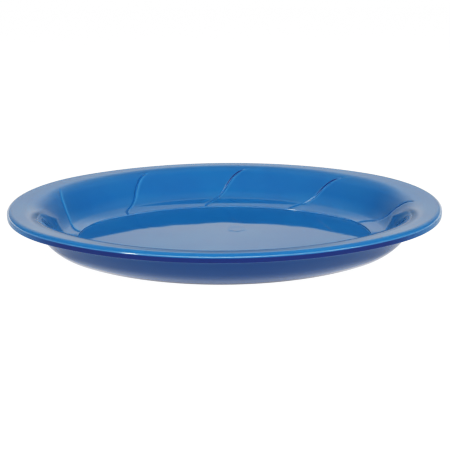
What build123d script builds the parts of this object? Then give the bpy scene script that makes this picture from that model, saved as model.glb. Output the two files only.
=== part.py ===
"""Oval serving platter: one injection moulding with a rolled rim, a grooved wall and a foot ring.

Frame: millimetres, origin at the centre of the plane the foot ring rests on, +Z up,
+X along the long axis and +Y along the short axis.

Every outline in plan is a four-centre oval. The outside keeps a constant inset from the
rim's outermost edge, so it is swept round the oval's four centres. The well is lofted,
because its flange is wider at the platter's two ends than along its sides.
"""

import os
from math import atan2, cos, degrees, radians, sin, tan

from build123d import *

# Plan outline: half sizes at the rim's outermost edge, and the radius of its two end arcs.
HALF_LENGTH = 159.0
HALF_WIDTH = 125.5
END_RADIUS = 108.0

# Heights above the table.
RIM_HEIGHT = 37.66  # where the flange and the lip's face would meet without the crest's radius
LIP_BOTTOM_HEIGHT = 31.3
FLOOR_HEIGHT = 10.4
FLOOR_THICKNESS = 3.2

# Rim: a turned-down lip, then a flange that dips slightly towards the middle.
LIP_THICKNESS = 2.2
LIP_EDGE_RADIUS = 0.8
LIP_DRAFT = 0.2
CREST_RADIUS = 3.0
FLANGE_INSET = 14.9
FLANGE_SLOPE = 6.5
FLANGE_THICKNESS = 2.6
FLANGE_TURN_RADIUS = 14.0

# Inner wall: steep below the flange, then a shallow bowl down to the step round the floor.
WALL_SLOPE = 56.0
BOWL_INSET = 29.0
BOWL_RADIUS = 19.0
FLOOR_INSET = 49.3
STEP_DEPTH = 0.8
STEP_WIDTH = 0.2

# The well's outlines are drawn in at the two ends, most of all at the flange's inner edge.
END_WIDENING = 7.0
WIDEST_INSET = 24.0

# Outer wall and foot ring.
OUTER_WALL_SLOPE = 54.5
OUTER_TURN_INSET = 33.4
OUTER_TURN_HEIGHT = 3.1
OUTER_TURN_RADIUS = 37.0
OUTER_BASE_SLOPE = 12.0
UNDER_FLANGE_RADIUS = 3.0
UNDER_LIP_RADIUS = 1.0
FOOT_WIDTH = 3.5
FOOT_DRAFT = 1.5
FOOT_EDGE_RADIUS = 1.2
FOOT_INNER_EDGE_RADIUS = 0.8
FOOT_ROOT_RADIUS = 1.5

# The swept ring stops here, and one flat plate fills the middle of the floor.
RING_INSET = 60.0
PLATE_INSET = 55.0

# The well is cut from a blank a little taller than the rim, by a body that overhangs it.
BLANK_ABOVE_RIM = 0.2
WELL_OVERHANG = 4.0
WELL_ROWS = 22

# S-curved grooves pressed into the inner wall. Their two ends are shares of the outline,
# anticlockwise from the +X end: first at the floor's step, then up at the flange.
GROOVE_FEET = (0.046, 0.158, 0.276, 0.389, 0.486, 0.598, 0.710, 0.822, 0.934)
GROOVE_TOPS = (-0.002, 0.112, 0.221, 0.331, 0.440, 0.552, 0.664, 0.775, 0.887)
GROOVE_TOP_INSET = 12.5
GROOVE_WIDTH = 2.4
GROOVE_END_WIDTH = 0.5
GROOVE_DROP = 1.1
GROOVE_STATIONS = 9
GROOVE_LEAN = 1.6  # above 1, a groove swings sideways more up the steep wall than in the bowl
GROOVE_S_BEND = 0.3  # how much more it swings at its two ends than in its middle

# Round witness mark left in the floor by the mould.
MARK_CENTRE = (8.7, 13.4)
MARK_RADIUS = 6.0
MARK_DEPTH = 0.15

END_CENTRE = HALF_LENGTH - END_RADIUS


def smooth(value):
    """Eased step from 0 to 1."""
    value = min(max(value, 0.0), 1.0)
    return value * value * (3 - 2 * value)


def end_widening(inset):
    """How much further in one of the well's outlines lies at the ends than at the sides."""
    rise = smooth(inset / WIDEST_INSET)
    fall = smooth((inset - WIDEST_INSET) / (FLOOR_INSET - WIDEST_INSET))
    return END_WIDENING * (rise - fall)


def oval_arcs(inset, widening=0.0):
    """An outline's four arcs as (centre, radius, first angle, sweep), anticlockwise from +X."""
    half_width = HALF_WIDTH - inset
    end_radius = END_RADIUS - inset - widening
    squares = END_CENTRE**2 + half_width**2 - end_radius**2
    side_radius = squares / (2 * (half_width - end_radius))
    side_centre = side_radius - half_width
    joint = degrees(atan2(side_centre, END_CENTRE))
    return [
        ((END_CENTRE, 0), end_radius, -joint, 2 * joint),
        ((0, -side_centre), side_radius, joint, 180 - 2 * joint),
        ((-END_CENTRE, 0), end_radius, 180 - joint, 2 * joint),
        ((0, side_centre), side_radius, 180 + joint, 180 - 2 * joint),
    ]


def oval_point(arcs, share):
    """Point a share of the outline's length anticlockwise from its +X end."""
    lengths = [radius * radians(sweep) for _, radius, _, sweep in arcs]
    # The first arc starts half its length before the +X end.
    travel = (share * sum(lengths) + lengths[0] / 2) % sum(lengths)
    for (centre, radius, first, _), length in zip(arcs, lengths):
        if travel <= length:
            break
        travel -= length
    angle = radians(first) + travel / radius
    return Vector(centre[0] + radius * cos(angle), centre[1] + radius * sin(angle))


def oval_edges(arcs):
    """The edges of an outline."""
    with BuildLine() as outline:
        for centre, radius, first, sweep in arcs:
            CenterArc(centre, radius, first, sweep)
    return outline.edges()


def outer_corners():
    """Outside of the cross-section as (inset, height, corner radius), foot root to lip."""
    under_floor = FLOOR_HEIGHT - FLOOR_THICKNESS
    base_inset = OUTER_TURN_INSET + OUTER_TURN_HEIGHT / tan(radians(OUTER_BASE_SLOPE))
    foot_inner = base_inset + FOOT_WIDTH
    # The outer wall's line meets the flange's underside where both give the same height.
    wall_rise = tan(radians(OUTER_WALL_SLOPE))
    flange_fall = tan(radians(FLANGE_SLOPE))
    under_flange = RIM_HEIGHT - FLANGE_THICKNESS
    wall_top = OUTER_TURN_HEIGHT + OUTER_TURN_INSET * wall_rise
    turn_inset = (wall_top - under_flange) / (wall_rise - flange_fall)
    lip_inset = LIP_THICKNESS + LIP_DRAFT
    return [
        (foot_inner + FOOT_DRAFT, under_floor, FOOT_ROOT_RADIUS),
        (foot_inner, 0, FOOT_INNER_EDGE_RADIUS),
        (base_inset, 0, FOOT_EDGE_RADIUS),
        (OUTER_TURN_INSET, OUTER_TURN_HEIGHT, OUTER_TURN_RADIUS),
        (turn_inset, under_flange - turn_inset * flange_fall, UNDER_FLANGE_RADIUS),
        (lip_inset, under_flange - lip_inset * flange_fall, UNDER_LIP_RADIUS),
        (LIP_THICKNESS, LIP_BOTTOM_HEIGHT, LIP_EDGE_RADIUS),
        (0, LIP_BOTTOM_HEIGHT, LIP_EDGE_RADIUS),
    ]


def blank_corners():
    """Cross-section of the solid ring that the well is cut from."""
    top = RIM_HEIGHT + BLANK_ABOVE_RIM
    inner = [(RING_INSET, FLOOR_HEIGHT - FLOOR_THICKNESS, 0)]
    return inner + outer_corners() + [(0, top, 0), (RING_INSET, top, 0)]


def sweep_round(corners):
    """Revolve one cross-section about each of the oval's four centres in turn."""
    for (x, y), radius, first, sweep in oval_arcs(0):
        outward = (cos(radians(first)), sin(radians(first)), 0)
        across = (outward[1], -outward[0], 0)
        with BuildSketch(Plane(origin=(x, y, 0), x_dir=outward, z_dir=across)) as section:
            with BuildLine():
                points = [(radius - inset, height) for inset, height, _ in corners]
                FilletPolyline(points, radius=[corner[2] for corner in corners], close=True)
            make_face()
        revolve(section.sketch, axis=Axis((x, y, 0), (0, 0, 1)), revolution_arc=sweep)


def groove_centre(foot, top, part):
    """Point on a groove's centre line, from its foot at the floor (0) to its top (1)."""
    inset = FLOOR_INSET + (GROOVE_TOP_INSET - FLOOR_INSET) * part
    lean = part**GROOVE_LEAN
    swing = lean + GROOVE_S_BEND * sin(radians(360 * lean)) / radians(360)
    return oval_point(oval_arcs(inset, end_widening(inset)), foot + (top - foot) * swing)


def groove_outline(foot, top):
    """One groove in plan: an S-curve that is widest in its middle and narrows to each end."""
    left = []
    right = []
    for station in range(GROOVE_STATIONS):
        part = station / (GROOVE_STATIONS - 1)
        centre = groove_centre(foot, top, part)
        ahead = groove_centre(foot, top, part + 0.01)
        along = (ahead - centre).normalized()
        fullness = sin(radians(180 * part)) ** 0.5
        width = GROOVE_END_WIDTH + (GROOVE_WIDTH - GROOVE_END_WIDTH) * fullness
        aside = Vector(-along.Y, along.X) * (width / 2)
        left.append(centre + aside)
        right.append(centre - aside)
    return left, right


# The line down the well's side: flange, steep wall and bowl.
with BuildLine() as well_line:
    flange_fall = tan(radians(FLANGE_SLOPE))
    flange_height = RIM_HEIGHT - FLANGE_INSET * flange_fall
    bowl_height = flange_height - (BOWL_INSET - FLANGE_INSET) * tan(radians(WALL_SLOPE))
    FilletPolyline(
        (-WELL_OVERHANG, RIM_HEIGHT + WELL_OVERHANG * flange_fall),
        (FLANGE_INSET, flange_height),
        (BOWL_INSET, bowl_height),
        (FLOOR_INSET, FLOOR_HEIGHT + STEP_DEPTH),
        radius=[FLANGE_TURN_RADIUS, BOWL_RADIUS],
    )

with BuildPart() as well:
    for row in range(WELL_ROWS + 1):
        place = well_line.line @ (row / WELL_ROWS)
        with BuildSketch(Plane.XY.offset(place.Y)):
            make_face(oval_edges(oval_arcs(place.X, end_widening(place.X))))
    loft()

with BuildPart() as grooves:
    with BuildSketch():
        for groove_foot, groove_top in zip(GROOVE_FEET, GROOVE_TOPS):
            side_a, side_b = groove_outline(groove_foot, groove_top)
            with BuildLine():
                Spline(side_a)
                Line(side_a[-1], side_b[-1])
                Spline(side_b)
                Line(side_a[0], side_b[0])
            make_face()
    extrude(amount=RIM_HEIGHT)
    # Each groove's bottom is the well's own surface, sunk straight down.
    add(well.part.moved(Location((0, 0, -GROOVE_DROP))), mode=Mode.INTERSECT)

with BuildPart() as platter:
    sweep_round(blank_corners())
    with BuildSketch(Plane.XY.offset(FLOOR_HEIGHT - FLOOR_THICKNESS)):
        make_face(oval_edges(oval_arcs(PLATE_INSET)))
    extrude(amount=FLOOR_THICKNESS)
    add(well.part, mode=Mode.SUBTRACT)
    with BuildSketch(Plane.XY.offset(FLOOR_HEIGHT)):
        make_face(oval_edges(oval_arcs(FLOOR_INSET + STEP_WIDTH)))
    extrude(amount=2 * STEP_DEPTH, mode=Mode.SUBTRACT)
    crest = platter.edges().filter_by_position(Axis.Z, RIM_HEIGHT - 0.1, RIM_HEIGHT + 0.1)
    fillet(crest, radius=CREST_RADIUS)
    with BuildSketch(Plane.XY.offset(FLOOR_HEIGHT)):
        with Locations(MARK_CENTRE):
            Circle(MARK_RADIUS)
    extrude(amount=-MARK_DEPTH, mode=Mode.SUBTRACT)
    add(grooves.part, mode=Mode.SUBTRACT)

platter.part.label = "platter"
os.makedirs("parts", exist_ok=True)
export_step(platter.part, "parts/platter.step")
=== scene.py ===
"""Oval serving platter: the glossy blue moulding, its floor, studio light and camera.

Everything is in metres in the CAD's own frame: origin at the centre of the foot's resting
plane, +X along the long axis, +Y along the short axis, +Z up.
"""

from math import atan2, ceil, cos, pi, radians, sin, tan

import bpy
from mathutils import Matrix, Vector, noise


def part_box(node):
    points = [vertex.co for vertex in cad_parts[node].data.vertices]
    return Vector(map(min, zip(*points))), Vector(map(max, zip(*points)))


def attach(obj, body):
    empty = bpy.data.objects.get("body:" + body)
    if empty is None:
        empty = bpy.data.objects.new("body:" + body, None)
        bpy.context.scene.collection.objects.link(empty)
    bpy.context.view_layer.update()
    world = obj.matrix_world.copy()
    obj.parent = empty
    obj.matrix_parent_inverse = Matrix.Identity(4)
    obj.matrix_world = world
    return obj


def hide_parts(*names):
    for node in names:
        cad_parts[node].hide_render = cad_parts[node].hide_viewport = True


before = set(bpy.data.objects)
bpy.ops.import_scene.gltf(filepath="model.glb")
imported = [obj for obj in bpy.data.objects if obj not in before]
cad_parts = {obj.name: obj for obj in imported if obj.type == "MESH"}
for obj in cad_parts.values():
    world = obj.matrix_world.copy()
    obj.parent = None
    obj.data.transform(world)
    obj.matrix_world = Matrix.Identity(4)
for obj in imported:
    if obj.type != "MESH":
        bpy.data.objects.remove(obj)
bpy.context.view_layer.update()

MM = 0.001

# ---------------------------------------------------------------- sizes of the moulding
_, box_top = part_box("platter")
HALF_LENGTH = box_top.x
HALF_WIDTH = box_top.y
END_RADIUS = 108.0 * MM

CREST_RADIUS = 3.0 * MM
FLANGE_SLOPE = radians(6.5)
# The flange and the lip's face meet at a sharp corner, a little above the rounded crest.
RIM_HEIGHT = box_top.z + CREST_RADIUS * (tan(FLANGE_SLOPE) + 1 / cos(FLANGE_SLOPE) - 1)
LIP_BOTTOM_HEIGHT = 31.3 * MM
FLOOR_HEIGHT = 10.4 * MM
FLOOR_THICKNESS = 3.2 * MM

LIP_THICKNESS = 2.2 * MM
LIP_DRAFT = 0.2 * MM
LIP_EDGE_RADIUS = 0.8 * MM
FLANGE_INSET = 14.9 * MM
FLANGE_THICKNESS = 2.6 * MM
FLANGE_TURN_RADIUS = 14.0 * MM

WALL_SLOPE = radians(56.0)
BOWL_INSET = 29.0 * MM
BOWL_RADIUS = 19.0 * MM
FLOOR_INSET = 49.3 * MM
STEP_DEPTH = 0.8 * MM
STEP_TOP_RADIUS = 0.4 * MM
STEP_ROOT_RADIUS = 0.2 * MM

OUTER_WALL_SLOPE = radians(54.5)
OUTER_TURN_INSET = 33.4 * MM
OUTER_TURN_HEIGHT = 3.1 * MM
OUTER_TURN_RADIUS = 37.0 * MM
OUTER_BASE_SLOPE = radians(12.0)
UNDER_FLANGE_RADIUS = 3.0 * MM
UNDER_LIP_RADIUS = 1.0 * MM
FOOT_WIDTH = 3.5 * MM
FOOT_DRAFT = 1.5 * MM
FOOT_EDGE_RADIUS = 1.2 * MM
FOOT_INNER_EDGE_RADIUS = 0.8 * MM
FOOT_ROOT_RADIUS = 1.5 * MM

# The top face's outlines are drawn in at the platter's two ends, most of all at WIDEST_INSET.
# So the flange is wider there than along the sides, and the lower wall is steeper.
END_WIDENING = 7.0 * MM
WIDEST_INSET = 24.0 * MM

# Where each groove ends at the floor's step and up at the flange: shares of the outline,
# anticlockwise from the +X end.
GROOVE_FEET = (0.046, 0.158, 0.276, 0.389, 0.486, 0.598, 0.710, 0.822, 0.934)
GROOVE_TOPS = (-0.002, 0.112, 0.221, 0.331, 0.440, 0.552, 0.664, 0.775, 0.887)
GROOVE_TOP_INSET = 12.5 * MM
GROOVE_WIDTH = 3.6 * MM
GROOVE_DEPTH = 0.9 * MM
# A lean above 1 makes most of the sideways swing near the top, and the bend makes it an S.
GROOVE_LEAN = 1.6
GROOVE_S_BEND = 0.3
# Shares of a groove's length over which it runs out at its foot and at its top.
FOOT_FADE = 0.06
TOP_FADE = 0.12
# The painted highlight along a groove's clockwise edge, which stands in for light on that flank:
# how far its middle lies from the groove's own and how far it reaches from there, in half groove
# widths, and its run-out.
HIGHLIGHT_OFFSET = 0.8
HIGHLIGHT_REACH = 0.45
HIGHLIGHT_FADE = 0.12

# The mould's witness mark: a shallow round recess in the floor, with a soft edge.
MARK_CENTRE = Vector((8.7 * MM, 13.4 * MM))
MARK_RADIUS = 6.0 * MM
MARK_DEPTH = 0.15 * MM
MARK_EDGE = 0.8 * MM

# The floor's own slight unevenness, as moulded, and how far from the step it has set in.
RIPPLE_HEIGHT = 0.06 * MM
RIPPLE_LENGTH = 24.0 * MM
RIPPLE_ONSET = 6.0 * MM

# ---------------------------------------------------------------- mesh density
ROW_STEP = 1.0 * MM
ARC_STEP = radians(7.0)
COLUMN_STEP = 2.4 * MM
HALF_GROOVE_COLUMNS = 10
# From this inset inwards the rows give way to rings that shrink to the floor's middle.
FAN_INSET = 96.0 * MM
FAN_RINGS = 14

# ---------------------------------------------------------------- the four-centre oval
END_CENTRE = HALF_LENGTH - END_RADIUS


def smooth(value):
    """Eased step from 0 to 1."""
    value = min(max(value, 0.0), 1.0)
    return value * value * (3 - 2 * value)


def end_widening(inset):
    """How much further in an outline of the top face lies at the two ends than at the sides."""
    rise = smooth(inset / WIDEST_INSET)
    fall = smooth((inset - WIDEST_INSET) / (FLOOR_INSET - WIDEST_INSET))
    return END_WIDENING * (rise - fall)


def oval_arcs(inset, widening=0.0):
    """The outline's four arcs as (centre, radius, first angle, sweep), anticlockwise from +X."""
    half_width = HALF_WIDTH - inset
    end_radius = END_RADIUS - inset - widening
    squares = END_CENTRE**2 + half_width**2 - end_radius**2
    side_radius = squares / (2 * (half_width - end_radius))
    side_centre = side_radius - half_width
    joint = atan2(side_centre, END_CENTRE)
    return [
        (Vector((END_CENTRE, 0)), end_radius, -joint, 2 * joint),
        (Vector((0, -side_centre)), side_radius, joint, pi - 2 * joint),
        (Vector((-END_CENTRE, 0)), end_radius, pi - joint, 2 * joint),
        (Vector((0, side_centre)), side_radius, pi + joint, pi - 2 * joint),
    ]


def oval_length(arcs):
    """Length of an outline."""
    return sum(radius * sweep for _, radius, _, sweep in arcs)


def oval_point(arcs, share):
    """Point a share of the outline anticlockwise from its +X end, and the way outwards there."""
    length = oval_length(arcs)
    _, end_radius, _, end_sweep = arcs[0]
    travel = (share * length + end_radius * end_sweep / 2) % length
    for centre, radius, first, sweep in arcs:
        if travel <= radius * sweep:
            break
        travel -= radius * sweep
    angle = first + travel / radius
    outward = Vector((cos(angle), sin(angle)))
    return centre + outward * radius, outward


# ---------------------------------------------------------------- the cross-section
def inner_corners():
    """Top face from the flange to the floor's step, as (inset, height, corner radius)."""
    flange_height = RIM_HEIGHT - FLANGE_INSET * tan(FLANGE_SLOPE)
    bowl_height = flange_height - (BOWL_INSET - FLANGE_INSET) * tan(WALL_SLOPE)
    return [
        (FLANGE_INSET, flange_height, FLANGE_TURN_RADIUS),
        (BOWL_INSET, bowl_height, BOWL_RADIUS),
        (FLOOR_INSET, FLOOR_HEIGHT + STEP_DEPTH, STEP_TOP_RADIUS),
        (FLOOR_INSET + STEP_ROOT_RADIUS, FLOOR_HEIGHT, STEP_ROOT_RADIUS),
    ]


def outer_corners():
    """Underside from the foot's inner root out to the lip, then up to the crest."""
    under_floor = FLOOR_HEIGHT - FLOOR_THICKNESS
    base_inset = OUTER_TURN_INSET + OUTER_TURN_HEIGHT / tan(OUTER_BASE_SLOPE)
    foot_inner = base_inset + FOOT_WIDTH
    # The outer wall's line meets the flange's underside where both give the same height.
    wall_rise = tan(OUTER_WALL_SLOPE)
    flange_fall = tan(FLANGE_SLOPE)
    under_flange = RIM_HEIGHT - FLANGE_THICKNESS
    wall_top = OUTER_TURN_HEIGHT + OUTER_TURN_INSET * wall_rise
    turn_inset = (wall_top - under_flange) / (wall_rise - flange_fall)
    lip_inset = LIP_THICKNESS + LIP_DRAFT
    return [
        (foot_inner + FOOT_DRAFT, under_floor, FOOT_ROOT_RADIUS),
        (foot_inner, 0, FOOT_INNER_EDGE_RADIUS),
        (base_inset, 0, FOOT_EDGE_RADIUS),
        (OUTER_TURN_INSET, OUTER_TURN_HEIGHT, OUTER_TURN_RADIUS),
        (turn_inset, under_flange - turn_inset * flange_fall, UNDER_FLANGE_RADIUS),
        (lip_inset, under_flange - lip_inset * flange_fall, UNDER_LIP_RADIUS),
        (LIP_THICKNESS, LIP_BOTTOM_HEIGHT, LIP_EDGE_RADIUS),
        (0, LIP_BOTTOM_HEIGHT, LIP_EDGE_RADIUS),
        (0, RIM_HEIGHT, CREST_RADIUS),
    ]


def straight(start, end):
    """Points after start up to and including end, no further apart than a row step."""
    count = max(1, ceil((end - start).length / ROW_STEP))
    return [start.lerp(end, number / count) for number in range(1, count + 1)]


def rounded_path(start, corners, end):
    """Open path from start to end whose corners are tangent arcs."""
    path = [start]
    places = [Vector(corner[:2]) for corner in corners]
    before = [start] + places[:-1]
    after = places[1:] + [end]
    for place, (_, _, radius), previous, following in zip(places, corners, before, after):
        back = (previous - place).normalized()
        ahead = (following - place).normalized()
        half_angle = back.angle(ahead) / 2
        arc_start = place + back * (radius / tan(half_angle))
        path += straight(path[-1], arc_start)
        centre = place + (back + ahead).normalized() * (radius / sin(half_angle))
        spoke = arc_start - centre
        turn = pi - 2 * half_angle
        if back.x * ahead.y - back.y * ahead.x > 0:
            turn = -turn
        steps = max(2, ceil(abs(turn) / ARC_STEP), ceil(abs(turn) * radius / ROW_STEP))
        for number in range(1, steps + 1):
            angle = turn * number / steps
            turned = Vector((
                spoke.x * cos(angle) - spoke.y * sin(angle),
                spoke.x * sin(angle) + spoke.y * cos(angle),
            ))
            path.append(centre + turned)
    return path + straight(path[-1], end)


# ---------------------------------------------------------------- grooves, mark and ripple
def groove_part(inset):
    """How far along a groove an inset lies: 0 at the floor's step, 1 at the groove's top."""
    part = (FLOOR_INSET - inset) / (FLOOR_INSET - GROOVE_TOP_INSET)
    return min(max(part, 0.0), 1.0)


def swing(part):
    """How much of its sideways swing a groove has made at this part of its length."""
    lean = part**GROOVE_LEAN
    return lean + GROOVE_S_BEND * sin(2 * pi * lean) / (2 * pi)


def groove_columns():
    """Columns round the oval as (share at the foot, share at the top, distance to a groove)."""
    length = oval_length(oval_arcs(FLANGE_INSET))
    groove_share = GROOVE_WIDTH / length
    columns = []
    for number, (foot, top) in enumerate(zip(GROOVE_FEET, GROOVE_TOPS)):
        for step in range(-HALF_GROOVE_COLUMNS, HALF_GROOVE_COLUMNS + 1):
            offset = GROOVE_WIDTH / 2 * step / HALF_GROOVE_COLUMNS
            columns.append((foot + offset / length, top + offset / length, offset))
        # The last groove is followed by the first one, a whole turn further on.
        following = (number + 1) % len(GROOVE_FEET)
        whole_turn = 1.0 if following == 0 else 0.0
        foot_gap = GROOVE_FEET[following] + whole_turn - foot - groove_share
        top_gap = GROOVE_TOPS[following] + whole_turn - top - groove_share
        count = ceil((foot_gap + groove_share) * length / COLUMN_STEP)
        for step in range(1, count):
            share = step / count
            column_foot = foot + groove_share / 2 + foot_gap * share
            column_top = top + groove_share / 2 + top_gap * share
            columns.append((column_foot, column_top, GROOVE_WIDTH))
    return columns


def groove_sink(part, distance):
    """Depth of the groove at a distance from its middle line."""
    across = abs(distance) / (GROOVE_WIDTH / 2)
    if across >= 1 or part <= 0 or part >= 1:
        return 0.0
    profile = cos(across * pi / 2) ** 2
    ends = smooth(part / FOOT_FADE) * smooth((1 - part) / TOP_FADE)
    return GROOVE_DEPTH * profile * ends


def groove_highlight(part, distance):
    """Share of painted highlight on the groove's clockwise edge at a distance from its middle
    line, 0 to 1.
    """
    across = abs(distance / (GROOVE_WIDTH / 2) + HIGHLIGHT_OFFSET) / HIGHLIGHT_REACH
    ends = smooth(part / HIGHLIGHT_FADE) * smooth((1 - part) / HIGHLIGHT_FADE)
    return (1 - smooth(across)) * ends


def floor_height(x, y):
    """Height of the floor's top face, with its faint ripple and the mould's witness mark."""
    wave = noise.noise(Vector((x / RIPPLE_LENGTH, y / RIPPLE_LENGTH, 0)))
    distance = (Vector((x, y)) - MARK_CENTRE).length
    mark = 1 - smooth((distance - MARK_RADIUS) / MARK_EDGE + 0.5)
    return FLOOR_HEIGHT + RIPPLE_HEIGHT * wave - MARK_DEPTH * mark


# ---------------------------------------------------------------- the platter's mesh
def section_rows():
    """Rows of the mesh from the floor's fan, out over the rim and back to the underside's fan."""
    top_start = Vector((FAN_INSET, FLOOR_HEIGHT))
    bottom_end = Vector((FAN_INSET, FLOOR_HEIGHT - FLOOR_THICKNESS))
    corners = list(reversed(inner_corners())) + list(reversed(outer_corners()))
    return rounded_path(top_start, corners, bottom_end)


def place_rows(rows, columns):
    """Vertices of all rows, and each one's share of painted highlight; grooves and ripple are on
    top only.
    """
    crest = max(range(len(rows)), key=lambda number: rows[number].y)
    outermost = min(range(len(rows)), key=lambda number: rows[number].x)
    flat_inset = FLOOR_INSET + 2 * STEP_ROOT_RADIUS
    verts = []
    highlight = []
    for number, (inset, height) in enumerate(rows):
        on_top = number <= crest
        arcs = oval_arcs(inset, end_widening(inset) if number <= outermost else 0.0)
        part = groove_part(inset) if on_top else 1.0
        ahead = rows[min(number + 1, len(rows) - 1)] - rows[max(number - 1, 0)]
        normal = Vector((ahead.y, -ahead.x)).normalized()
        ripple_share = smooth((inset - FLOOR_INSET) / RIPPLE_ONSET)
        for foot, top, distance in columns:
            sink = groove_sink(part, distance) if on_top else 0.0
            place, outward = oval_point(arcs, foot + (top - foot) * swing(part))
            place += outward * (normal.x * sink)
            z = height - normal.y * sink
            if on_top and inset > flat_inset:
                z += (floor_height(place.x, place.y) - FLOOR_HEIGHT) * ripple_share
            verts.append((place.x, place.y, z))
            highlight.append(groove_highlight(part, distance) if on_top else 0.0)
    return verts, highlight


def row_faces(row_count, width):
    """Faces between each row and the next one."""
    faces = []
    for start in range(0, (row_count - 1) * width, width):
        for column in range(width):
            following = (column + 1) % width
            faces.append((
                start + column,
                start + following,
                start + width + following,
                start + width + column,
            ))
    return faces


def close_fan(verts, faces, ring, wavy):
    """Close a ring of vertices with rings that shrink to the floor's middle point."""
    ring = list(ring)
    outline = [Vector(verts[index]) for index in ring]
    for number in range(1, FAN_RINGS):
        scale = 1 - number / FAN_RINGS
        first = len(verts)
        for corner in outline:
            x = corner.x * scale
            y = corner.y * scale
            verts.append((x, y, floor_height(x, y) if wavy else corner.z))
        inner = list(range(first, first + len(ring)))
        for column in range(len(ring)):
            following = (column + 1) % len(ring)
            faces.append((ring[following], ring[column], inner[column], inner[following]))
        ring = inner
    middle = len(verts)
    verts.append((0, 0, floor_height(0, 0) if wavy else outline[0].z))
    for column in range(len(ring)):
        faces.append((ring[(column + 1) % len(ring)], ring[column], middle))


def build_platter():
    """The whole moulding as one closed mesh whose columns follow the grooves' swirl."""
    rows = section_rows()
    columns = groove_columns()
    width = len(columns)
    verts, highlight = place_rows(rows, columns)
    faces = row_faces(len(rows), width)
    last = len(verts) - width
    close_fan(verts, faces, range(width), wavy=True)
    close_fan(verts, faces, range(last + width - 1, last - 1, -1), wavy=False)
    mesh = bpy.data.meshes.new("platter_shell")
    mesh.from_pydata(verts, [], faces)
    mesh.validate()
    mesh.shade_smooth()
    highlight += [0.0] * (len(verts) - len(highlight))
    # The grooves' painted highlight goes to the material as a point attribute.
    mesh.attributes.new("groove_highlight", "FLOAT", "POINT").data.foreach_set("value", highlight)
    return mesh


# ---------------------------------------------------------------- node helpers
class Nodes:
    """Short way to add nodes and link their sockets."""

    def __init__(self, tree):
        self.tree = tree
        self.tree.nodes.clear()

    def feed(self, socket, value):
        """Link a socket to another node's output, or set its value."""
        if isinstance(value, bpy.types.NodeSocket):
            self.tree.links.new(value, socket)
        else:
            socket.default_value = value

    def add(self, kind, inputs=None, **settings):
        """A new node with these inputs and settings."""
        node = self.tree.nodes.new(kind)
        for name, value in settings.items():
            setattr(node, name, value)
        for name, value in (inputs or {}).items():
            self.feed(node.inputs[name], value)
        return node

    def math(self, operation, first, second=0.0, clamp=False):
        """Result of one operation; the second value is ignored where it takes only one."""
        inputs = {0: first, 1: second}
        node = self.add("ShaderNodeMath", inputs, operation=operation, use_clamp=clamp)
        return node.outputs[0]

    def ramp(self, factor, stops):
        """Grey value against a factor from 0 to 1, as (factor, value) stops."""
        node = self.add("ShaderNodeValToRGB", {"Fac": factor})
        elements = node.color_ramp.elements
        # Every stop's place is set just below, so a new one may start anywhere.
        while len(elements) < len(stops):
            elements.new(0.5)
        for element, (position, value) in zip(elements, stops):
            element.position = position
            element.color = (value, value, value, 1.0)
        return node.outputs["Color"]

    def band(self, measure, stops):
        """Grey value against any measure that starts at 0, as (measure, value) stops."""
        top = stops[-1][0]
        share = self.math("DIVIDE", measure, top, clamp=True)
        return self.ramp(share, [(position / top, value) for position, value in stops])

    def mix(self, factor, first, second, kind="MIX"):
        """Colour mixed or otherwise combined from two others."""
        node = self.add("ShaderNodeMix", data_type="RGBA", blend_type=kind)
        inputs = {socket.identifier: socket for socket in node.inputs}
        self.feed(inputs["Factor_Float"], factor)
        self.feed(inputs["A_Color"], first)
        self.feed(inputs["B_Color"], second)
        outputs = {socket.identifier: socket for socket in node.outputs}
        return outputs["Result_Color"]

    def soft_noise(self, where, scale, detail):
        """Soft noise from 0 to 1; the scale is in lumps per metre."""
        inputs = {"Vector": where, "Scale": scale, "Detail": detail}
        return self.add("ShaderNodeTexNoise", inputs).outputs["Fac"]

    def diffuse(self, colour):
        """Matt surface."""
        return self.add("ShaderNodeBsdfDiffuse", {"Color": colour}).outputs[0]

    def emission(self, colour, strength):
        """Surface that gives off light of its own."""
        inputs = {"Color": colour, "Strength": strength}
        return self.add("ShaderNodeEmission", inputs).outputs[0]

    def background(self, colour, strength):
        """Light from the surroundings."""
        inputs = {"Color": colour, "Strength": strength}
        return self.add("ShaderNodeBackground", inputs).outputs[0]

    def both(self, first, second):
        """Sum of two shaders."""
        return self.add("ShaderNodeAddShader", {0: first, 1: second}).outputs[0]

    def either(self, switch, when_off, when_on):
        """One shader where the switch is 0 and the other where it is 1."""
        return self.add("ShaderNodeMixShader", {0: switch, 1: when_off, 2: when_on}).outputs[0]


def new_material(name):
    """An empty node material and the helper that fills it."""
    material = bpy.data.materials.new(name)
    material.use_nodes = True
    return material, Nodes(material.node_tree)


# ---------------------------------------------------------------- the platter's plastic
BLUE = (0.022, 0.212, 0.47, 1.0)
BLUE_DEEP = (0.02, 0.197, 0.455, 1.0)
# Indigo for the painted shade on upright and downward faces.
SHADE_INDIGO = (0.014, 0.046, 0.21, 1.0)
# Pale azure for the painted highlight along one edge of each groove, at this strength.
HIGHLIGHT_PALE = (0.1, 0.37, 0.66, 1.0)
HIGHLIGHT_STRENGTH = 0.65
# Share of azure against the way a face is turned: 0 for down, 0.5 for upright, 1 for up. The rest
# is indigo painted as shade, most of all on upright faces.
PAINTED_SHADE_STOPS = ((0.2, 0.45), (0.42, 0.0), (0.55, 0.0), (0.6, 1.0))
# The same share against how far a face is turned towards one of the two ends, where azure is
# painted as light from the sides.
PAINTED_LIGHT_ENDS = ((0.55, 0.0), (0.78, 0.9))

FLOW_SCALE = 28.0
FLOW_DETAIL = 3.0
FLOW_STOPS = ((0.35, 0.0), (0.65, 1.0))

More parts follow.
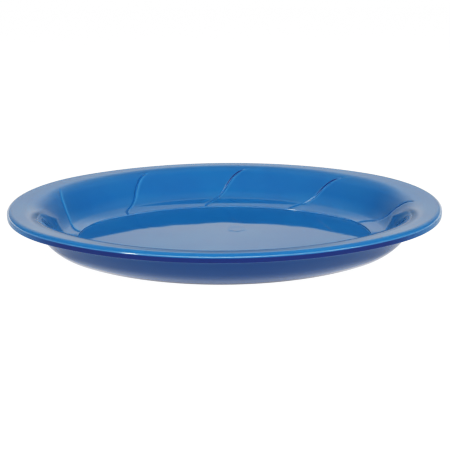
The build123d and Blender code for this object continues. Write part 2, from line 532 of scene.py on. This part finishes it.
SCRATCH_SCALE = 220.0
SCRATCH_DETAIL = 2.0
SCRATCH_STRETCH = (1.0, 14.0, 1.0)
SCRATCH_TURN = radians(24.0)
SCRATCH_STOPS = ((0.66, 0.0), (0.72, 1.0))

POLISHED_ROUGHNESS = 0.035
SCRATCH_ROUGHNESS = 0.05
SATIN_ROUGHNESS = 0.35
# The satin base is where the normal's Z and the height are both below these.
SATIN_FACING = -0.93
SATIN_HEIGHT = 7.0 * MM

PEEL_SCALE = 130.0
PEEL_DETAIL = 1.0
PEEL_STRENGTH = 0.02
PEEL_HEIGHT = 0.6 * MM
PLASTIC_IOR = 1.5


def plastic_colour(nodes, where, normal):
    """Azure that drifts along the flow, with painted indigo shade and a painted highlight on the
    grooves' edges.
    """
    drift = nodes.ramp(nodes.soft_noise(where, FLOW_SCALE, FLOW_DETAIL), FLOW_STOPS)
    azure = nodes.mix(drift, BLUE, BLUE_DEEP)

    # Upright and downward faces are painted indigo as shade, and faces turned to the ends are
    # painted azure as light.
    turned = nodes.math("MULTIPLY", nodes.math("ADD", normal["Z"], 1.0), 0.5)
    endwise = nodes.ramp(nodes.math("ABSOLUTE", normal["X"]), PAINTED_LIGHT_ENDS)
    lit_share = nodes.mix(1.0, nodes.ramp(turned, PAINTED_SHADE_STOPS), endwise, kind="LIGHTEN")
    colour = nodes.mix(lit_share, SHADE_INDIGO, azure)

    # A painted highlight makes one edge of each groove paler, as if light fell on that flank.
    highlight_amount = nodes.add("ShaderNodeAttribute", attribute_name="groove_highlight").outputs["Fac"]
    return nodes.mix(nodes.math("MULTIPLY", highlight_amount, HIGHLIGHT_STRENGTH), colour, HIGHLIGHT_PALE)


def plastic_roughness(nodes, where, normal):
    """Polished with fine handling scratches, but satin on the foot and the slope beside it."""
    # Scratches show only where a stretched noise peaks.
    stretch = nodes.add("ShaderNodeMapping", {"Vector": where, "Scale": SCRATCH_STRETCH})
    stretch.inputs["Rotation"].default_value = (0, 0, SCRATCH_TURN)
    scratch = nodes.soft_noise(stretch.outputs[0], SCRATCH_SCALE, SCRATCH_DETAIL)
    hairlines = nodes.ramp(scratch, SCRATCH_STOPS)
    scratched = nodes.math("MULTIPLY", hairlines, SCRATCH_ROUGHNESS)

    # The base is moulded against a bead-blasted ring.
    height = nodes.add("ShaderNodeSeparateXYZ", {"Vector": where}).outputs["Z"]
    facing_down = nodes.math("LESS_THAN", normal["Z"], SATIN_FACING)
    near_table = nodes.math("LESS_THAN", height, SATIN_HEIGHT)
    base = nodes.math("MULTIPLY", facing_down, near_table)
    satin = nodes.math("MULTIPLY", base, SATIN_ROUGHNESS)

    polished = nodes.math("ADD", POLISHED_ROUGHNESS, scratched)
    return nodes.math("ADD", polished, satin)


def blue_plastic():
    """Polished blue plastic: flow-marked colour, hairline scratches and a satin base."""
    material, nodes = new_material("blue_plastic")
    where = nodes.add("ShaderNodeTexCoord").outputs["Object"]
    facing = nodes.add("ShaderNodeNewGeometry").outputs["Normal"]
    normal = nodes.add("ShaderNodeSeparateXYZ", {"Vector": facing}).outputs
    peel = nodes.soft_noise(where, PEEL_SCALE, PEEL_DETAIL)
    bump = nodes.add(
        "ShaderNodeBump",
        {"Height": peel, "Strength": PEEL_STRENGTH, "Distance": PEEL_HEIGHT},
    )
    shader = nodes.add(
        "ShaderNodeBsdfPrincipled",
        {
            "Base Color": plastic_colour(nodes, where, normal),
            "Roughness": plastic_roughness(nodes, where, normal),
            "IOR": PLASTIC_IOR,
            "Normal": bump.outputs["Normal"],
        },
    )
    nodes.add("ShaderNodeOutputMaterial", {"Surface": shader.outputs[0]})
    return material


# ---------------------------------------------------------------- the studio's floor
FLOOR_SIZE = 6.0
FLOOR_GAP = 0.1 * MM
FLOOR_GRAIN_SCALE = 60.0
FLOOR_GRAIN_DETAIL = 2.0
FLOOR_GRAIN = ((0.3, 0.58), (0.7, 0.62))
FLOOR_BOUNCE = 0.24
FLOOR_BOUNCE_TINT = (1.0, 0.9, 1.0, 1.0)
FLOOR_SEEN = (0.2, 0.2, 0.2, 1.0)
FLOOR_LIFT = 0.98
WHITE = (1.0, 1.0, 1.0, 1.0)
# Brightness of the mirrored floor against distance from the centre, in half sizes. It is
# brightest in a narrow ring under the platter's heel.
FLOOR_MIRRORED = (
    (0, 0.3),
    (0.66, 0.4),
    (0.72, 1.0),
    (0.78, 0.85),
    (0.84, 0.6),
    (1.0, 1.0),
    (1.2, 0.65),
    (1.5, 0.7),
)


def pale_floor():
    """Pale floor: nearly white to the camera, grey to soft light, banded in reflections."""
    material, nodes = new_material("pale_floor")
    path = nodes.add("ShaderNodeLightPath").outputs
    where = nodes.add("ShaderNodeTexCoord").outputs["Object"]

    grain = nodes.soft_noise(where, FLOOR_GRAIN_SCALE, FLOOR_GRAIN_DETAIL)
    grey = nodes.diffuse(nodes.ramp(grain, FLOOR_GRAIN))
    bouncing = nodes.both(grey, nodes.emission(FLOOR_BOUNCE_TINT, FLOOR_BOUNCE))
    lifted = nodes.both(nodes.diffuse(FLOOR_SEEN), nodes.emission(WHITE, FLOOR_LIFT))
    seen = nodes.either(path["Is Camera Ray"], bouncing, lifted)

    shrink = (1 / HALF_LENGTH, 1 / HALF_WIDTH, 0)
    place = nodes.add("ShaderNodeVectorMath", {0: where, 1: shrink}, operation="MULTIPLY")
    reach = nodes.add("ShaderNodeVectorMath", {0: place.outputs[0]}, operation="LENGTH")
    glow = nodes.band(reach.outputs["Value"], FLOOR_MIRRORED)
    upper = nodes.either(path["Is Glossy Ray"], seen, nodes.emission(glow, 1.0))

    # From below the sheet can be seen through, so that the underside can be looked at.
    behind = nodes.add("ShaderNodeNewGeometry").outputs["Backfacing"]
    clear = nodes.add("ShaderNodeBsdfTransparent").outputs[0]
    surface = nodes.either(behind, upper, clear)
    nodes.add("ShaderNodeOutputMaterial", {"Surface": surface})
    return material


def build_floor():
    """A wide pale sheet just under the foot."""
    half = FLOOR_SIZE / 2
    z = -FLOOR_GAP
    corners = [(-half, -half, z), (half, -half, z), (half, half, z), (-half, half, z)]
    mesh = bpy.data.meshes.new("studio_floor")
    mesh.from_pydata(corners, [], [(0, 1, 2, 3)])
    mesh.materials.append(pale_floor())
    sheet = bpy.data.objects.new("studio_floor", mesh)
    bpy.context.scene.collection.objects.link(sheet)


# ---------------------------------------------------------------- the studio's surroundings
# Each side of the studio as it shows in the polished plastic: its share against the angle
# turned from straight behind the platter, and its brightness against elevation, both as
# (degrees, value) stops.
BACK_SIDE = (
    ((0, 1.0), (60, 0.0), (180, 0.0)),
    (
        (0, 0.01), (7, 0.035), (11, 0.09), (15, 0.093), (20, 0.095),
        (30, 0.12), (40, 0.08), (60, 0.05), (90, 0.06),
    ),
)
FLANK_SIDES = (
    ((0, 0.0), (60, 1.0), (120, 0.0), (180, 0.0)),
    (
        (0, 0.28), (7, 0.16), (11, 0.043), (14, 0.012), (20, 0.025),
        (40, 0.035), (55, 0.06), (72, 0.065), (90, 0.06),
    ),
)
NEAR_FLANK_SIDES = (
    ((0, 0.0), (60, 0.0), (120, 1.0), (180, 0.0)),
    (
        (0, 0.0), (7, 0.2), (11, 0.38), (14, 0.22), (20, 0.15),
        (24, 0.05), (40, 0.03), (55, 0.05), (72, 0.04), (90, 0.06),
    ),
)
FRONT_SIDE = (
    ((0, 0.0), (120, 0.0), (180, 1.0)),
    (
        (0, 0.0), (11, 0.0), (14, 0.15), (20, 0.24), (24, 0.7),
        (30, 1.0), (40, 0.05), (72, 0.03), (90, 0.06),
    ),
)
STUDIO_SIDES = (BACK_SIDE, FLANK_SIDES, NEAR_FLANK_SIDES, FRONT_SIDE)
# Two narrow lamps at the front, in the same way but by the angle from far left to far right.
FRONT_LAMPS = (
    (
        (0, 0.0), (43, 0.0), (48, 1.0), (53, 0.0),
        (132, 0.0), (140, 0.15), (148, 0.15), (156, 0.0), (180, 0.0),
    ),
    ((0, 0.0), (13, 0.0), (18, 1.0), (22, 0.0), (90, 0.0)),
)
LAMP_GAIN = (7.0, 7.0, 7.0, 1.0)
MIRRORED_TINT = (1.16, 1.0, 0.84, 1.0)
MIRRORED_STRENGTH = 10.0
FILL_TINT = (1.0, 0.9, 1.0, 1.0)
FILL_STRENGTH = 0.01
TO_DEGREES = 180 / pi


def lit_region(nodes, turn, elevation, region):
    """Brightness of one region of the studio in a direction given by its two angles."""
    share_stops, bright_stops = region
    share = nodes.band(turn, share_stops)
    bright = nodes.band(elevation, bright_stops)
    return nodes.mix(1.0, share, bright, kind="MULTIPLY")


def mirrored_room(nodes):
    """Colour of the studio all round, as only reflections see it."""
    direction = nodes.add("ShaderNodeTexCoord").outputs["Generated"]
    parts = nodes.add("ShaderNodeSeparateXYZ", {"Vector": direction}).outputs
    elevation = nodes.math("MULTIPLY", nodes.math("ARCSINE", parts["Z"]), TO_DEGREES)
    azimuth = nodes.math("ARCTAN2", parts["X"], parts["Y"])
    from_behind = nodes.math("ABSOLUTE", nodes.math("MULTIPLY", azimuth, TO_DEGREES))
    towards_front = nodes.math("MULTIPLY", parts["Y"], -1.0)
    front_azimuth = nodes.math("ARCTAN2", parts["X"], towards_front)
    from_left = nodes.math("ADD", nodes.math("MULTIPLY", front_azimuth, TO_DEGREES), 90.0)
    room = (0, 0, 0, 1)
    for side in STUDIO_SIDES:
        lit = lit_region(nodes, from_behind, elevation, side)
        room = nodes.mix(1.0, room, lit, kind="ADD")
    lamps = lit_region(nodes, from_left, elevation, FRONT_LAMPS)
    bright_lamps = nodes.mix(1.0, lamps, LAMP_GAIN, kind="MULTIPLY")
    room = nodes.mix(1.0, room, bright_lamps, kind="ADD")
    return nodes.mix(1.0, room, MIRRORED_TINT, kind="MULTIPLY")


def build_world():
    """White to the camera, a lit studio to reflections and a faint fill to everything else."""
    world = bpy.data.worlds.new("studio")
    world.use_nodes = True
    bpy.context.scene.world = world
    nodes = Nodes(world.node_tree)
    path = nodes.add("ShaderNodeLightPath").outputs
    fill = nodes.background(FILL_TINT, FILL_STRENGTH)
    mirrored = nodes.background(mirrored_room(nodes), MIRRORED_STRENGTH)
    lit = nodes.either(path["Is Glossy Ray"], fill, mirrored)
    seen = nodes.either(path["Is Camera Ray"], lit, nodes.background(WHITE, 1.0))
    nodes.add("ShaderNodeOutputWorld", {"Surface": seen})


# ---------------------------------------------------------------- softboxes
# Name, azimuth, elevation and power in watts; azimuth 0 is the camera's side, 90 the right.
SOFTBOXES = (
    ("key", 0, 60, 12.6),
    ("front", 0, 25, 5.3),
    ("left", -90, 45, 1.0),
    ("left_low", -75, 12, 2.8),
    ("right", 70, 50, 3.5),
    ("right_low", 75, 12, 3.2),
    ("overhead", 0, 90, 1.0),
)
SOFTBOX_DISTANCE = 1.5
SOFTBOX_SIDE = 1.4


def build_lights():
    """Soft light on the platter from above, from the front and from both sides."""
    for name, azimuth, elevation, power in SOFTBOXES:
        light = bpy.data.lights.new(name, "AREA")
        light.shape = "RECTANGLE"
        light.size = SOFTBOX_SIDE
        light.size_y = SOFTBOX_SIDE
        light.energy = power
        lamp = bpy.data.objects.new(name, light)
        turn = radians(azimuth)
        lift = radians(elevation)
        away = Vector((sin(turn) * cos(lift), -cos(turn) * cos(lift), sin(lift)))
        lamp.location = away * SOFTBOX_DISTANCE
        lamp.rotation_mode = "QUATERNION"
        lamp.rotation_quaternion = away.to_track_quat("Z", "Y")
        # In reflections the studio's surroundings stand in for it.
        lamp.visible_glossy = False
        bpy.context.scene.collection.objects.link(lamp)


# ---------------------------------------------------------------- camera
# Lens and sensor are in millimetres.
SENSOR_WIDTH = 36.0
LENS = 71.715
VIEW_ELEVATION = radians(15.43)
VIEW_DISTANCE = 4.187  # in half lengths, from the middle of the rim
VIEW_ROLL = radians(0.43)
# The camera aims a little below the rim's middle and a touch to its right.
AIM_BELOW = radians(1.5208)
AIM_RIGHT = radians(0.0256)
RIM_MIDDLE_HEIGHT = 36.4 * MM
CLIP_NEAR = 0.01
CLIP_FAR = 50.0


def build_camera():
    """A short telephoto view from the front, a little above the rim."""
    data = bpy.data.cameras.new("camera")
    data.sensor_width = SENSOR_WIDTH
    data.lens = LENS
    data.clip_start = CLIP_NEAR
    data.clip_end = CLIP_FAR
    pitch = VIEW_ELEVATION + AIM_BELOW
    forward = Vector((sin(AIM_RIGHT), cos(AIM_RIGHT) * cos(pitch), -sin(pitch)))
    right = forward.cross(Vector((0, 0, 1))).normalized()
    up = right.cross(forward)
    rolled_right = right * cos(VIEW_ROLL) - up * sin(VIEW_ROLL)
    rolled_up = right * sin(VIEW_ROLL) + up * cos(VIEW_ROLL)
    axes = Matrix((rolled_right, rolled_up, -forward)).transposed()
    away = Vector((0, -cos(VIEW_ELEVATION), sin(VIEW_ELEVATION))) * VIEW_DISTANCE * HALF_LENGTH
    place = Vector((0, 0, RIM_MIDDLE_HEIGHT)) + away
    camera = bpy.data.objects.new("camera", data)
    camera.matrix_world = Matrix.Translation(place) @ axes.to_4x4()
    bpy.context.scene.collection.objects.link(camera)
    bpy.context.scene.camera = camera


# ---------------------------------------------------------------- tone
# A camera's usual contrast, as (tone in, tone out): shadows pressed down, bright tones lifted.
CONTRAST = (
    (0.033, 0.0143),
    (0.073, 0.0443),
    (0.133, 0.108),
    (0.214, 0.214),
    (0.448, 0.549),
    (0.787, 0.906),
)
COMBINED_CURVE = 3


def set_tone():
    """Standard view with the contrast curve on all three colours together."""
    view = bpy.context.scene.view_settings
    view.view_transform = "Standard"
    view.use_curve_mapping = True
    curve = view.curve_mapping.curves[COMBINED_CURVE]
    for tone_in, tone_out in CONTRAST:
        curve.points.new(tone_in, tone_out)
    view.curve_mapping.update()


# ---------------------------------------------------------------- put together
platter = bpy.data.objects.new("platter_shell", build_platter())
platter.data.materials.append(blue_plastic())
bpy.context.scene.collection.objects.link(platter)
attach(platter, "root")
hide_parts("platter")

build_floor()
build_world()
build_lights()
build_camera()
set_tone()
